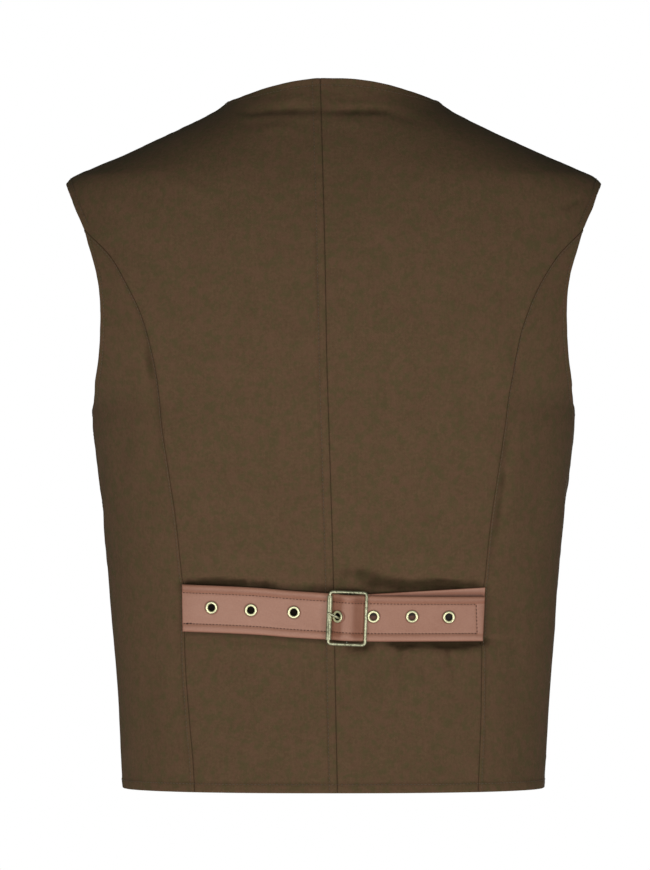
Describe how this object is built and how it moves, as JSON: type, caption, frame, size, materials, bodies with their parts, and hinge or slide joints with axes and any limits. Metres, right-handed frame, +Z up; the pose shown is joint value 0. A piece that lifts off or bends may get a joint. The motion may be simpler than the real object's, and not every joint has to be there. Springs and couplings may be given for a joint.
{
  "type": "leather vest",
  "caption": "Waist-length vest in its worn form, with a woven back, leather fronts, and a leather belt with a wire roller buckle and eyelets across the back.",
  "frame": {"origin": "middle between the side neck points, where the shoulders of the wearer carry the vest", "axes": "+X towards the wearer's right, +Y towards the wearer's front, +Z up; the belted back faces -Y"},
  "size_m": [0.4628, 0.2469, 0.6107],
  "materials": {
    "cloth": "matt brown woven cloth",
    "leather": "satin reddish tan",
    "brass": "antique, worn"
  },
  "bodies": {
    "root": {"back_panel_left": "cloth", "back_panel_right": "cloth", "side_panel_left": "cloth", "side_panel_right": "cloth", "front_panel_left": "leather", "front_panel_right": "leather", "belt_long_strap": "leather", "belt_buckle_strap": "leather", "buckle_frame": "brass", "buckle_roller": "brass", "buckle_prong": "brass", "eyelet_1": "brass", "eyelet_2": "brass", "eyelet_3": "brass", "eyelet_4": "brass", "eyelet_5": "brass", "eyelet_6": "brass", "eyelet_7": "brass", "front_button_1": "brass", "front_button_2": "brass", "front_button_3": "brass", "front_button_4": "brass", "front_button_5": "brass"}
  },
  "joints": []
}
